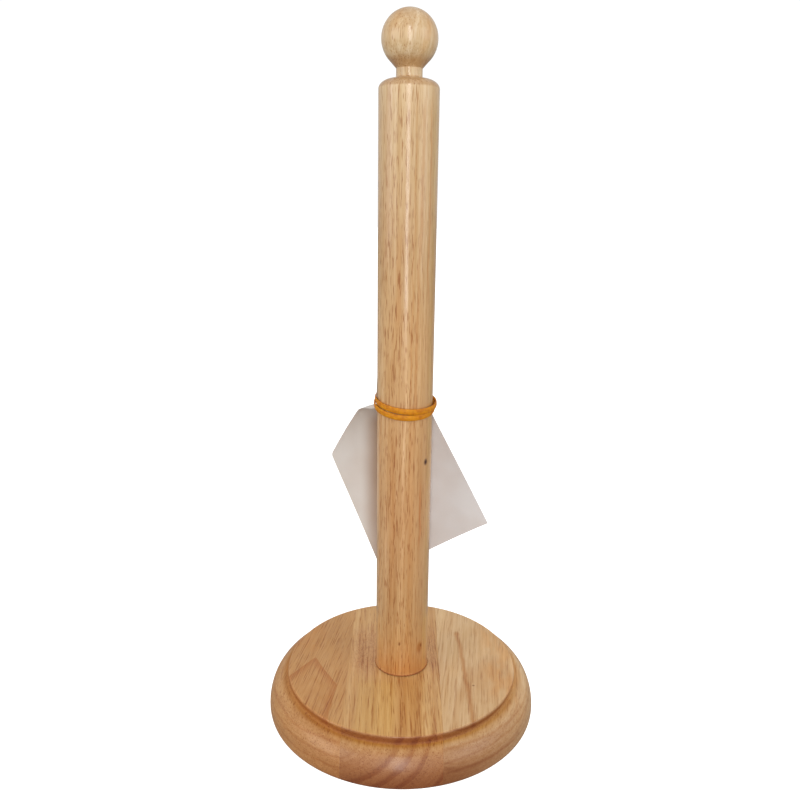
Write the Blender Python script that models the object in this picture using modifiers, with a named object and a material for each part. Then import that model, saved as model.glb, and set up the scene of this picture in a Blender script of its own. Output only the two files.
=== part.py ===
"""Paper towel holder: a turned wooden post on a round, edge-glued base.

A doubled rubber band holds a blank paper tag against the back of the post.
Metres, +Z up. The origin is the centre of the base's underside; the post stands on +Z.
"""
from math import cos, exp, pi, radians, sin

import bmesh
import bpy
from mathutils import Vector

# --- driving dimensions -------------------------------------------------------------
OVERALL_HEIGHT = 0.339
GAP = 0.0003                      # clearance kept between pieces that touch

BASE_DIAMETER = 0.140
BASE_THICKNESS = 0.0205
DISC_DIAMETER = 0.120             # raised disc that the paper roll stands on
DISC_STEP = 0.0040                # height of the disc above the rounded rim
DISC_EDGE_RADIUS = 0.0006
COVE_RADIUS = 0.0010              # hollow corner at the foot of the disc's edge
RIM_WIDEST_Z = 0.0020             # height at which the rounded rim is widest
RIM_FOOT_INSET = 0.0005           # the underside's edge lies this far inside the rim
SEAM_LEFT_X = -0.0280             # glue lines between the three boards
SEAM_RIGHT_X = 0.0200

POST_DIAMETER = 0.0270
SHOULDER_Z = 0.3063               # top of the post's straight side
SHOULDER_RISE = 0.0044
FOOT_FLARE = 0.0006               # the foot spreads out this far
FOOT_FLARE_RISE = 0.0012
NECK_DIAMETER = 0.0116
NECK_FILLET = 0.0008
BALL_DIAMETER = 0.0247
BALL_TAPER_ANGLE = 48             # degrees below the middle where the ball runs into a cone
NECK_TOP_Z = 0.3148

SCREW_HEAD_DIAMETER = 0.0090
SCREW_HEAD_Z = 0.0012             # the head is sunk this far above the underside
SCREW_SHANK_DIAMETER = 0.0045
SCREW_CORE_DIAMETER = 0.0032
SCREW_THREAD_START_Z = 0.0240
SCREW_THREAD_PITCH = 0.0018
SCREW_THREAD_TURNS = 14
SCREW_TIP = 0.0040
SCREW_DRIVE_WIDTH = 0.0009        # one arm of the cross recess
SCREW_DRIVE_SPAN = 0.0046
SCREW_DRIVE_DEPTH = 0.0016

BAND_Z = 0.1622                   # middle of the doubled rubber band at the front of the post
BAND_TILT = 0.0023                # how much higher it sits at the sides
BAND_LEAN = 0.0009                # how much higher it sits on the left than on the right
BAND_WIDTH = 0.0028
BAND_THICKNESS = 0.0009
BAND_STRAND_OFFSET = 0.00171      # each strand's middle above or below the band's middle
BAND_CROSSING = 0.00095           # half the distance between the strands where they cross
BAND_CROSSING_TURN = 150          # degrees round to the right from the front
BAND_CORNER = 0.0003

TAG_THICKNESS = 0.0003
TAG_WING_RADIUS = 0.1870          # the slight bend left in the open paper
TAG_FLARE_Z = 0.1618              # the paper opens out below this height
TAG_FLARE_QUICK = 0.0006          # it springs open at first, and then more slowly
TAG_FLARE_SLOW = 0.0173
TAG_GRID = 0.0035
TAG_CORNERS = (                   # outline unrolled: distance round the post, height
    (-0.0106, 0.0651),
    (0.0445, 0.0979),
    (0.0025, 0.1780),
    (-0.0182, 0.1780),
    (-0.0380, 0.1358),
)

BASE_STEPS = 72
POST_STEPS = 48
SCREW_STEPS = 20
BAND_STEPS = 96                   # points along both turns
CUT_MARGIN = 0.010                # how far a cutter runs past what it cuts
WELD = 0.00002                    # points closer than this are one point
TAG_WELD = 0.0002

# --- derived ------------------------------------------------------------------------
BASE_R = BASE_DIAMETER / 2
DISC_R = DISC_DIAMETER / 2
POST_R = POST_DIAMETER / 2
NECK_R = NECK_DIAMETER / 2
BALL_R = BALL_DIAMETER / 2
SHANK_R = SCREW_SHANK_DIAMETER / 2
CORE_R = SCREW_CORE_DIAMETER / 2
HEAD_R = SCREW_HEAD_DIAMETER / 2
STEP_Z = BASE_THICKNESS - DISC_STEP
POST_FOOT_Z = BASE_THICKNESS + GAP
BALL_Z = OVERALL_HEIGHT - BALL_R
THREAD_TOP_Z = SCREW_THREAD_START_Z + SCREW_THREAD_PITCH * SCREW_THREAD_TURNS
TAG_HUG_R = POST_R + GAP + TAG_THICKNESS / 2
BAND_R = TAG_HUG_R + TAG_THICKNESS / 2 + GAP + BAND_THICKNESS / 2 + BAND_CROSSING / 4


# --- helpers ------------------------------------------------------------------------
def clear_scene():
    for old in list(bpy.data.objects):
        bpy.data.objects.remove(old, do_unlink=True)


def make_collection(name):
    collection = bpy.data.collections.new(name)
    bpy.context.scene.collection.children.link(collection)
    return collection


def make_material(name, colour, roughness, metallic=0.0):
    material = bpy.data.materials.new(name)
    material.use_nodes = True
    shader = material.node_tree.nodes["Principled BSDF"]
    shader.inputs["Base Color"].default_value = (*colour, 1.0)
    shader.inputs["Roughness"].default_value = roughness
    shader.inputs["Metallic"].default_value = metallic
    material.diffuse_color = (*colour, 1.0)
    return material


def add_object(name, data, collection, material=None):
    obj = bpy.data.objects.new(name, data)
    collection.objects.link(obj)
    if material is not None:
        data.materials.append(material)
    return obj


def as_cutter(obj):
    obj.hide_render = True
    obj.display_type = "WIRE"
    return obj


def arc(centre, radii, start, end, steps):
    """Points of an elliptical arc in the (radius, height) plane, angles in degrees."""
    points = []
    for i in range(steps + 1):
        angle = radians(start + (end - start) * i / steps)
        points.append((centre[0] + radii[0] * cos(angle), centre[1] + radii[1] * sin(angle)))
    return points


def add_turned(name, profile, steps, collection, material=None):
    """A profile in the XZ plane, top to bottom, turned about Z by a Screw modifier."""
    mesh = bpy.data.meshes.new(name)
    verts = [(r, 0.0, z) for r, z in profile]
    edges = [(i, i + 1) for i in range(len(verts) - 1)]
    mesh.from_pydata(verts, edges, [])
    obj = add_object(name, mesh, collection, material)
    screw = obj.modifiers.new("turn", "SCREW")
    screw.axis = "Z"
    screw.steps = steps
    screw.render_steps = steps
    screw.use_merge_vertices = True
    screw.merge_threshold = WELD
    screw.use_smooth_shade = True
    return obj


def add_box(name, low, high, collection):
    mesh = bpy.data.meshes.new(name)
    bm = bmesh.new()
    bmesh.ops.create_cube(bm, size=1.0)
    size = Vector(high) - Vector(low)
    middle = (Vector(high) + Vector(low)) / 2
    bmesh.ops.scale(bm, vec=size, verts=bm.verts)
    bmesh.ops.translate(bm, vec=middle, verts=bm.verts)
    bm.to_mesh(mesh)
    bm.free()
    return as_cutter(add_object(name, mesh, collection))


def add_boolean(obj, cutter, operation):
    boolean = obj.modifiers.new(cutter.name, "BOOLEAN")
    boolean.operation = operation
    boolean.solver = "EXACT"
    boolean.object = cutter


# --- the round base -----------------------------------------------------------------
def base_profile():
    rim_inner = DISC_R + COVE_RADIUS
    points = [(0.0, BASE_THICKNESS)]
    points += arc((DISC_R - DISC_EDGE_RADIUS, BASE_THICKNESS - DISC_EDGE_RADIUS),
                  (DISC_EDGE_RADIUS, DISC_EDGE_RADIUS), 90, 0, 2)
    points += arc((rim_inner, STEP_Z + COVE_RADIUS), (COVE_RADIUS, COVE_RADIUS), 180, 270, 2)
    points += arc((rim_inner, RIM_WIDEST_Z), (BASE_R - rim_inner, STEP_Z - RIM_WIDEST_Z), 90, 0, 7)[1:]
    points += arc((BASE_R - RIM_FOOT_INSET, RIM_WIDEST_Z), (RIM_FOOT_INSET, RIM_WIDEST_Z), 0, -90, 3)[1:]
    points.append((0.0, 0.0))
    return points


def make_base(collection, cutters, wood, screw_hole):
    """Three boards glued edge to edge: the turned base cut into slabs at the glue lines."""
    low, high = -BASE_R - CUT_MARGIN, BASE_R + CUT_MARGIN
    half_gap = GAP / 2
    boards = (
        ("base_stave_left", low, SEAM_LEFT_X - half_gap),
        ("base_stave_middle", SEAM_LEFT_X + half_gap, SEAM_RIGHT_X - half_gap),
        ("base_stave_right", SEAM_RIGHT_X + half_gap, high),
    )
    for name, x_low, x_high in boards:
        stave = add_turned(name, base_profile(), BASE_STEPS, collection, wood)
        slab = add_box(name + "_slab", (x_low, low, -CUT_MARGIN),
                       (x_high, high, BASE_THICKNESS + CUT_MARGIN), cutters)
        add_boolean(stave, slab, "INTERSECT")
        if name == "base_stave_middle":
            add_boolean(stave, screw_hole, "DIFFERENCE")


# --- the post, with its neck and ball -----------------------------------------------
def post_profile():
    fillet_r = NECK_R + NECK_FILLET
    fillet_z = SHOULDER_Z + SHOULDER_RISE + NECK_FILLET
    points = arc((0.0, BALL_Z), (BALL_R, BALL_R), 90, -BALL_TAPER_ANGLE, 12)
    points[0] = (0.0, OVERALL_HEIGHT)
    points.append((NECK_R, NECK_TOP_Z))
    points += arc((fillet_r, fillet_z), (NECK_FILLET, NECK_FILLET), 180, 270, 2)
    points += arc((fillet_r, SHOULDER_Z), (POST_R - fillet_r, SHOULDER_RISE), 90, 0, 5)[1:]
    points.append((POST_R, POST_FOOT_Z + FOOT_FLARE_RISE))
    points.append((POST_R + FOOT_FLARE, POST_FOOT_Z))
    points.append((0.0, POST_FOOT_Z))
    return points


def make_post(collection, wood, screw_hole):
    post = add_turned("post", post_profile(), POST_STEPS, collection, wood)
    add_boolean(post, screw_hole, "DIFFERENCE")


# --- the screw that joins them ------------------------------------------------------
def screw_profile():
    points = [(0.0, THREAD_TOP_Z + SCREW_TIP), (CORE_R, THREAD_TOP_Z)]
    for turn in range(SCREW_THREAD_TURNS):
        crest_z = THREAD_TOP_Z - SCREW_THREAD_PITCH * (turn + 0.5)
        points.append((SHANK_R, crest_z))
        points.append((CORE_R, crest_z - SCREW_THREAD_PITCH / 2))
    points.append((SHANK_R, SCREW_THREAD_START_Z - SCREW_THREAD_PITCH / 2))
    points.append((SHANK_R, SCREW_HEAD_Z + HEAD_R - SHANK_R))
    points.append((HEAD_R, SCREW_HEAD_Z))
    points.append((0.0, SCREW_HEAD_Z))
    return points


def make_screw(collection, cutters, steel):
    screw = add_turned("post_screw", screw_profile(), SCREW_STEPS, collection, steel)
    half_span = SCREW_DRIVE_SPAN / 2
    half_width = SCREW_DRIVE_WIDTH / 2
    arms = (("drive_x", half_span, half_width), ("drive_y", half_width, half_span))
    for name, half_x, half_y in arms:
        arm = add_box(name, (-half_x, -half_y, 0.0),
                      (half_x, half_y, SCREW_HEAD_Z + SCREW_DRIVE_DEPTH), cutters)
        add_boolean(screw, arm, "DIFFERENCE")


def make_screw_hole(cutters):
    """The screw's outline grown by the gap, open at the base's underside."""
    shank = SHANK_R + GAP
    head = HEAD_R + GAP
    profile = [
        (0.0, THREAD_TOP_Z + SCREW_TIP + GAP),
        (shank, THREAD_TOP_Z + GAP),
        (shank, SCREW_HEAD_Z + head - shank),
        (head, SCREW_HEAD_Z),
        (head, -CUT_MARGIN),
        (0.0, -CUT_MARGIN),
    ]
    return as_cutter(add_turned("screw_hole", profile, SCREW_STEPS, cutters))


# --- the rubber band ----------------------------------------------------------------
def band_point(angle):
    """Centre line of a closed loop that goes twice round the post and crosses itself once."""
    turn = angle - radians(BAND_CROSSING_TURN - 180)
    side = sin(turn / 2)
    radius = BAND_R + BAND_CROSSING * (side + side ** 2)
    sway = BAND_TILT * (1 - cos(angle)) - BAND_LEAN * sin(angle)
    height = BAND_Z + sway + BAND_STRAND_OFFSET * cos(turn / 2)
    return (radius * sin(angle), -radius * cos(angle), height)


def make_band(collection, cutters, rubber):
    section = bpy.data.curves.new("band_section", "CURVE")
    section.dimensions = "2D"
    outline = section.splines.new("POLY")
    corners = []
    for sx, sy, start in ((1, 1, 0), (-1, 1, 90), (-1, -1, 180), (1, -1, 270)):
        centre = (sx * (BAND_THICKNESS / 2 - BAND_CORNER), sy * (BAND_WIDTH / 2 - BAND_CORNER))
        corners += arc(centre, (BAND_CORNER, BAND_CORNER), start, start + 90, 1)
    outline.points.add(len(corners) - 1)
    for point, (x, y) in zip(outline.points, reversed(corners)):
        point.co = (x, y, 0.0, 1.0)
    outline.use_cyclic_u = True
    guide = as_cutter(add_object("band_section", section, cutters))

    curve = bpy.data.curves.new("rubber_band", "CURVE")
    curve.dimensions = "3D"
    curve.twist_mode = "Z_UP"
    curve.bevel_mode = "OBJECT"
    curve.bevel_object = guide
    loop = curve.splines.new("POLY")
    loop.points.add(BAND_STEPS - 1)
    for i, point in enumerate(loop.points):
        x, y, z = band_point(4 * pi * i / BAND_STEPS)
        point.co = (x, y, z - BAND_Z, 1.0)
    loop.use_cyclic_u = True
    band = add_object("rubber_band", curve, collection, rubber)
    band.location = (0.0, 0.0, BAND_Z)


# --- the paper tag ------------------------------------------------------------------
def tag_point(across, height):
    """Bends the flat sheet: wrapped on the post under the band, nearly flat below it."""
    below = max(0.0, TAG_FLARE_Z - height)
    hug = (exp(-below / TAG_FLARE_QUICK) + exp(-below / TAG_FLARE_SLOW)) / 2
    bend = hug / TAG_HUG_R + (1 - hug) / TAG_WING_RADIUS
    return (sin(bend * across) / bend, TAG_HUG_R - (1 - cos(bend * across)) / bend, height)


def make_tag(collection, paper):
    mesh = bpy.data.meshes.new("paper_tag")
    bm = bmesh.new()
    xs = [corner[0] for corner in TAG_CORNERS]
    zs = [corner[1] for corner in TAG_CORNERS]
    width, height = max(xs) - min(xs), max(zs) - min(zs)
    bmesh.ops.create_grid(bm, x_segments=round(width / TAG_GRID),
                          y_segments=round(height / TAG_GRID), size=0.5)
    bmesh.ops.scale(bm, vec=(width, height, 1.0), verts=bm.verts)
    middle = ((max(xs) + min(xs)) / 2, (max(zs) + min(zs)) / 2, 0.0)
    bmesh.ops.translate(bm, vec=middle, verts=bm.verts)
    for i, corner in enumerate(TAG_CORNERS):
        following = TAG_CORNERS[(i + 1) % len(TAG_CORNERS)]
        edge = Vector((following[0] - corner[0], following[1] - corner[1], 0.0))
        outward = Vector((edge.y, -edge.x, 0.0)).normalized()
        geometry = bm.verts[:] + bm.edges[:] + bm.faces[:]
        bmesh.ops.bisect_plane(bm, geom=geometry, plane_co=(*corner, 0.0), plane_no=outward,
                               clear_outer=True, dist=WELD)
    geometry = bm.verts[:] + bm.edges[:] + bm.faces[:]
    bmesh.ops.bisect_plane(bm, geom=geometry, plane_co=(0.0, TAG_FLARE_Z, 0.0),
                           plane_no=(0.0, 1.0, 0.0), dist=WELD)
    bmesh.ops.remove_doubles(bm, verts=bm.verts, dist=TAG_WELD)
    for vert in bm.verts:
        vert.co = Vector(tag_point(vert.co.x, vert.co.y)) - Vector((0.0, 0.0, BAND_Z))
    bm.to_mesh(mesh)
    bm.free()
    tag = add_object("paper_tag", mesh, collection, paper)
    tag.location = (0.0, 0.0, BAND_Z)
    solid = tag.modifiers.new("sheet", "SOLIDIFY")
    solid.thickness = TAG_THICKNESS
    solid.offset = 0.0


def main():
    clear_scene()
    parts = make_collection("paper_towel_holder")
    cutters = make_collection("cutters")
    wood = make_material("rubberwood", (0.60, 0.38, 0.19), 0.42)
    steel = make_material("screw_steel", (0.62, 0.60, 0.52), 0.35, 1.0)
    rubber = make_material("amber_rubber", (0.80, 0.38, 0.03), 0.45)
    paper = make_material("blank_paper", (0.78, 0.74, 0.71), 0.85)

    screw_hole = make_screw_hole(cutters)
    make_base(parts, cutters, wood, screw_hole)
    make_post(parts, wood, screw_hole)
    make_screw(parts, cutters, steel)
    make_band(parts, cutters, rubber)
    make_tag(parts, paper)


main()
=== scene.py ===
from math import cos, exp, pi, radians, sin

import bmesh
import bpy
from mathutils import Matrix, Vector


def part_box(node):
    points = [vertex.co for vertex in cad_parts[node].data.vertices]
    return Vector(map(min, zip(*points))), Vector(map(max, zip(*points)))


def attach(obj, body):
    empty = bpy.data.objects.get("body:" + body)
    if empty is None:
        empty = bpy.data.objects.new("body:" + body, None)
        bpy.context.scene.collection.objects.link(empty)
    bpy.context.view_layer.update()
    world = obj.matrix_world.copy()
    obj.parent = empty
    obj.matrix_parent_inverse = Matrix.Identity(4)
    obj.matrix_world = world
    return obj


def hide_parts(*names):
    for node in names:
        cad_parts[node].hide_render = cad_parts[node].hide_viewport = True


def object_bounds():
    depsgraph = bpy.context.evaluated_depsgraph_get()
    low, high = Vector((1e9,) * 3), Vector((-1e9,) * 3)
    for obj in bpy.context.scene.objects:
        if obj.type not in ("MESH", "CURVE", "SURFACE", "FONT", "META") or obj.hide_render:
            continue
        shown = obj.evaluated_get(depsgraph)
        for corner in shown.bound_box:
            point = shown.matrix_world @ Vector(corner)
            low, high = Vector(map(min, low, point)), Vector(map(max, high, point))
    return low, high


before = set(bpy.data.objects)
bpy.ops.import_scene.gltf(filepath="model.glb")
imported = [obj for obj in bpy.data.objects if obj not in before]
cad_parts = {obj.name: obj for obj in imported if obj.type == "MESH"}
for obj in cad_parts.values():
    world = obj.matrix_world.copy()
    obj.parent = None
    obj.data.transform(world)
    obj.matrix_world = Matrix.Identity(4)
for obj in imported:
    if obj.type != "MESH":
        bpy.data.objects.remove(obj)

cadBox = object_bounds()
mm = 0.001

# the turned stand is worked out from the frame's own boxes
baseLow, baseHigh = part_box("base_stave_middle")
postLow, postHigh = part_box("post")
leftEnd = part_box("base_stave_left")[1].x
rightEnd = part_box("base_stave_right")[0].x
baseRadius = baseHigh.y
baseTop = baseHigh.z
footFlare = 0.6 * mm       # the post spreads out this far where it meets the base
postRadius = postHigh.x - footFlare
postTop = postHigh.z
seamLeft = (leftEnd + baseLow.x) / 2
seamRight = (baseHigh.x + rightEnd) / 2
print("frame loaded, base radius", round(baseRadius, 4), "height", round(postTop, 4))


# mesh helpers
def arcPoints(centre, radii, start, end, steps):
    found = []
    for i in range(steps + 1):
        angle = radians(start + (end - start) * i / steps)
        found.append((centre[0] + radii[0] * cos(angle), centre[1] + radii[1] * sin(angle)))
    return found


def linePoints(start, end, steps):
    return [(start[0] + (end[0] - start[0]) * i / steps, start[1] + (end[1] - start[1]) * i / steps)
            for i in range(1, steps + 1)]


def turnProfile(profile, segments):  # closed solid of revolution, the profile runs top to bottom
    bm = bmesh.new()
    turns = [2 * pi * k / segments for k in range(segments)]
    rings = []
    for r, z in profile:
        if r < 1e-6:
            rings.append([bm.verts.new((0, 0, z))] * segments)
        else:
            rings.append([bm.verts.new((r * cos(turn), r * sin(turn), z)) for turn in turns])
    for upper, lower in zip(rings, rings[1:]):
        for k in range(segments):
            n = (k + 1) % segments
            corners = list(dict.fromkeys([upper[k], lower[k], lower[n], upper[n]]))
            if len(corners) > 2:
                bm.faces.new(corners)
    return bm


def finishMesh(bm, name, material, body, node, sharpAngle=35):
    mesh = bpy.data.meshes.new(name)
    bm.normal_update()
    bm.to_mesh(mesh)
    bm.free()
    mesh.materials.append(material)
    mesh.shade_smooth()
    mesh.set_sharp_from_angle(angle=radians(sharpAngle))
    piece = bpy.data.objects.new(name, mesh)
    bpy.context.scene.collection.objects.link(piece)
    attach(piece, body)
    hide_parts(node)
    return piece


# shader helpers
def addNode(tree, kind, inputs=None, **settings):
    made = tree.nodes.new(kind)
    for key, value in settings.items():
        setattr(made, key, value)
    for key, value in (inputs or {}).items():
        if isinstance(value, bpy.types.NodeSocket):
            tree.links.new(value, made.inputs[key])
        else:
            made.inputs[key].default_value = value
    return made


def calc(tree, operation, *values, clamp=False):
    return addNode(tree, "ShaderNodeMath", dict(enumerate(values)), operation=operation,
                   use_clamp=clamp).outputs[0]


def vectorCalc(tree, operation, first, second=None, output="Vector"):
    inputs = {0: first} if second is None else {0: first, 1: second}
    return addNode(tree, "ShaderNodeVectorMath", inputs, operation=operation).outputs[output]


def ease(tree, value, low, high, outLow=0.0, outHigh=1.0):  # smooth step between low and high
    return addNode(tree, "ShaderNodeMapRange", {0: value, 1: low, 2: high, 3: outLow, 4: outHigh},
                   interpolation_type="SMOOTHSTEP").outputs[0]


def product(tree, *values):
    result = values[0]
    for value in values[1:]:
        result = calc(tree, "MULTIPLY", result, value)
    return result


def tint(tree, amount, under, over, blend="MIX"):
    return addNode(tree, "ShaderNodeMix", {0: amount, 6: under, 7: over}, data_type="RGBA",
                   blend_type=blend).outputs[2]


def stain(tree, mask, base, tone):  # multiplies the base by a tone where the mask is on
    return tint(tree, mask, base, tone, "MULTIPLY")


def splitXyz(tree, vector):
    return addNode(tree, "ShaderNodeSeparateXYZ", {0: vector}).outputs


def joinXyz(tree, x, y, z):
    return addNode(tree, "ShaderNodeCombineXYZ", {0: x, 1: y, 2: z}).outputs[0]


def centred(tree, wave, height):  # a wave from 0 to 1 turned to one that swings round zero
    return calc(tree, "MULTIPLY_ADD", wave, height, -height / 2)


def colour(r, g, b):  # display values 0 to 255, turned to scene linear
    def linear(v):
        v = v / 255
        return v / 12.92 if v <= 0.04045 else ((v + 0.055) / 1.055) ** 2.4
    return (linear(r), linear(g), linear(b), 1.0)


def newGroup(name, inputs, outputs):
    tree = bpy.data.node_groups.new(name, "ShaderNodeTree")
    for label, kind, value in inputs:
        socket = tree.interface.new_socket(name=label, in_out="INPUT", socket_type="NodeSocket" + kind)
        if value is not None:
            socket.default_value = value
    for label, kind in outputs:
        tree.interface.new_socket(name=label, in_out="OUTPUT", socket_type="NodeSocket" + kind)
    return tree, tree.nodes.new("NodeGroupInput").outputs, tree.nodes.new("NodeGroupOutput")


def scaled(tree, vector, across, along, offset=0.0):  # z is the grain direction
    shift = vectorCalc(tree, "MULTIPLY", vector, (1 / across, 1 / across, 1 / along))
    return vectorCalc(tree, "ADD", shift, joinXyz(tree, offset, offset, offset))


def noise(tree, vector, detail=2.0, roughness=0.5, distortion=0.0):
    return addNode(tree, "ShaderNodeTexNoise",
                   {"Vector": vector, "Scale": 1.0, "Detail": detail, "Roughness": roughness,
                    "Distortion": distortion}).outputs["Fac"]


def noiseAlong(tree, value, detail=1.0):  # noise of a single number
    inputs = {"W": value, "Scale": 1.0, "Detail": detail, "Roughness": 0.55}
    return addNode(tree, "ShaderNodeTexNoise", inputs, noise_dimensions="1D").outputs["Fac"]


# growth rings round a leaning pith; positions are millimetres with z along the grain
ringLook = {
    "waverCell": (14.0, 70.0),             # the rings wander over this length across and along the grain
    "broad": (0.8, 1.0, 0.3, 0.7),         # steps per ring, detail, start and end of the mask
    "streak": (4.5, 2.0, 0.3, 0.72),
    "lineStrength": (0.9, 0.0, 0.40, 0.62),
    "lineRise": (0.35, 0.88),              # share of a ring over which its late wood darkens
    "lineFall": (0.90, 1.0),
}


def makeRingGroup():
    look = ringLook
    tree, given, end = newGroup("growthRings", [
        ("Position", "Vector", None), ("Pith X", "Float", 0.0), ("Pith Y", "Float", 60.0),
        ("Lean X", "Float", 0.0), ("Lean Y", "Float", 0.0), ("Ring Width", "Float", 4.0),
        ("Waver", "Float", 1.5), ("Seed", "Float", 0.0),
    ], [("Broad", "Float"), ("Streak", "Float"), ("Line", "Float")])
    place = splitXyz(tree, given["Position"])
    waver = noise(tree, scaled(tree, given["Position"], *look["waverCell"], given["Seed"]))
    swing = calc(tree, "MULTIPLY", calc(tree, "SUBTRACT", waver, 0.5), given["Waver"])
    sides = []
    for axis, side in enumerate(("X", "Y")):
        lean = calc(tree, "MULTIPLY_ADD", given["Lean " + side], place[2], given["Pith " + side])
        sides.append(calc(tree, "POWER", calc(tree, "SUBTRACT", place[axis], lean), 2.0))
    depth = calc(tree, "SQRT", calc(tree, "ADD", *sides))
    depth = calc(tree, "MULTIPLY_ADD", swing, 2.0, depth)
    phase = calc(tree, "ADD", calc(tree, "DIVIDE", depth, given["Ring Width"]), given["Seed"])

    def across(steps, detail, low, high):  # a mask that changes from ring to ring
        return ease(tree, noiseAlong(tree, calc(tree, "MULTIPLY", phase, steps), detail), low, high)

    rise = calc(tree, "FRACT", phase)
    line = product(tree, ease(tree, rise, *look["lineRise"]), ease(tree, rise, *look["lineFall"], 1.0, 0.0),
                   across(*look["lineStrength"]))
    masks = {"Broad": across(*look["broad"]), "Streak": across(*look["streak"]), "Line": line}
    for label, value in masks.items():
        tree.links.new(value, end.inputs[label])
    return tree


# open vessels: short dark dashes along the grain, dots on the end grain
poreLook = {
    "smallest": 0.5,     # share of the given size
    "shallowest": 0.4,   # share of the full depth
}


def makePoreGroup():
    look = poreLook
    tree, given, end = newGroup("openPores", [
        ("Position", "Vector", None), ("Spacing", "Float", 1.3), ("Length", "Float", 9.0),
        ("Size", "Float", 0.16), ("Share", "Float", 0.5), ("Seed", "Float", 0.0),
    ], [("Mask", "Float")])
    place = splitXyz(tree, given["Position"])
    cells = []
    for i, size in enumerate(("Spacing", "Spacing", "Length")):
        cells.append(calc(tree, "ADD", calc(tree, "DIVIDE", place[i], given[size]), given["Seed"]))
    voronoi = addNode(tree, "ShaderNodeTexVoronoi",
                      {"Vector": joinXyz(tree, *cells), "Scale": 1.0, "Randomness": 1.0})
    pick = addNode(tree, "ShaderNodeSeparateColor", {0: voronoi.outputs["Color"]})
    reach = calc(tree, "MULTIPLY", given["Size"], calc(tree, "ADD", pick.outputs[1], look["smallest"]))
    edge = ease(tree, voronoi.outputs["Distance"], 0.0, reach, 1.0, 0.0)
    chosen = calc(tree, "LESS_THAN", pick.outputs[0], given["Share"])
    depth = calc(tree, "MULTIPLY_ADD", pick.outputs[2], 1 - look["shallowest"], look["shallowest"])
    tree.links.new(product(tree, edge, chosen, depth), end.inputs["Mask"])
    return tree


# fine fibre, short red-brown dashes, mottling, ray lace and handling marks that every board shares
fibreLook = {
    "masks": {  # cell across and along the grain in mm, detail, roughness, start and end of the mask
        "Fibre": (0.45, 14.0, 3.0, 0.6, 0.3, 0.7),
        "Band": (1.5, 60.0, 2.0, 0.6, 0.3, 0.7),
        "Mottle": (5.0, 16.0, 2.0, 0.5, 0.32, 0.68),
        "Grime": (5.0, 7.0, 3.0, 0.6, 0.35, 0.75),
    },
    "dash": (0.54, 0.69),
    "laceCell": (1.5, 4.2),
    "laceTwist": 0.6,
    "laceLine": 0.055,
}


def makeFibreGroup():
    look = fibreLook
    tree, given, end = newGroup("fineFibre", [
        ("Position", "Vector", None), ("Dash Width", "Float", 0.55), ("Dash Length", "Float", 6.0),
        ("Seed", "Float", 0.0),
    ], [("Fibre", "Float"), ("Band", "Float"), ("Dash", "Float"), ("Mottle", "Float"), ("Lace", "Float"),
        ("Grime", "Float")])
    place, seed = given["Position"], given["Seed"]
    masks = {}
    for label, (across, along, detail, roughness, low, high) in look["masks"].items():
        cloud = noise(tree, scaled(tree, place, across, along, seed), detail, roughness)
        masks[label] = ease(tree, cloud, low, high)
    across = calc(tree, "DIVIDE", 1.0, given["Dash Width"])
    along = calc(tree, "DIVIDE", 1.0, given["Dash Length"])
    stretch = joinXyz(tree, across, across, along)
    dashes = noise(tree, vectorCalc(tree, "MULTIPLY", place, stretch), 2.0, 0.55)
    masks["Dash"] = ease(tree, dashes, *look["dash"])
    web = noise(tree, scaled(tree, place, *look["laceCell"], seed), 3.0, 0.6, look["laceTwist"])
    fromMiddle = calc(tree, "ABSOLUTE", calc(tree, "SUBTRACT", web, 0.5))
    masks["Lace"] = ease(tree, fromMiddle, 0.0, look["laceLine"], 1.0, 0.0)
    for label, value in masks.items():
        tree.links.new(value, end.inputs[label])
    return tree


ringGroup = makeRingGroup()
poreGroup = makePoreGroup()
fibreGroup = makeFibreGroup()
print("shared shader groups ready")


def useGroup(tree, group, inputs):
    return addNode(tree, "ShaderNodeGroup", inputs, node_tree=group).outputs


def newMaterial(name):
    material = bpy.data.materials.new(name)
    material.use_nodes = True
    tree = material.node_tree
    coords = tree.nodes.new("ShaderNodeTexCoord")
    return material, tree, tree.nodes["Principled BSDF"], coords.outputs


def addBump(tree, shader, height, strength, depth):
    bump = addNode(tree, "ShaderNodeBump", {"Height": height, "Strength": strength, "Distance": depth})
    tree.links.new(bump.outputs[0], shader.inputs["Normal"])


def millimetres(tree, place):
    return vectorCalc(tree, "MULTIPLY", place, (1000, 1000, 1000))


# a soft line between two points of the board's face, millimetres
def stripeMask(tree, place, start, finish, halfWidth):
    run = Vector((finish[0] - start[0], finish[1] - start[1], 0))
    away = vectorCalc(tree, "SUBTRACT", place, (start[0], start[1], 0))
    share = calc(tree, "MULTIPLY", vectorCalc(tree, "DOT_PRODUCT", away, tuple(run), "Value"),
                 1 / run.length_squared, clamp=True)
    along = {0: tuple(run), "Scale": share}
    nearest = addNode(tree, "ShaderNodeVectorMath", along, operation="SCALE").outputs[0]
    gap = vectorCalc(tree, "LENGTH", vectorCalc(tree, "SUBTRACT", away, nearest), output="Value")
    return ease(tree, gap, 0.0, halfWidth, 1.0, 0.0)


def betweenMask(tree, value, low, high, soft):
    return product(tree, ease(tree, value, low - soft, low + soft),
                   ease(tree, value, high - soft, high + soft, 1.0, 0.0))


def patchMask(tree, across, along, area, soft):  # area is low x, high x, low y, high y
    return product(tree, betweenMask(tree, across, area[0], area[1], soft),
                   betweenMask(tree, along, area[2], area[3], soft * 2))


def spotMask(tree, place, centre, size, stretch=(1.0, 1.0, 1.0)):
    away = vectorCalc(tree, "SUBTRACT", place, centre)
    away = vectorCalc(tree, "MULTIPLY", away, tuple(1 / s for s in stretch))
    return ease(tree, vectorCalc(tree, "LENGTH", away, output="Value"), size * 0.3, size, 1.0, 0.0)


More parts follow.
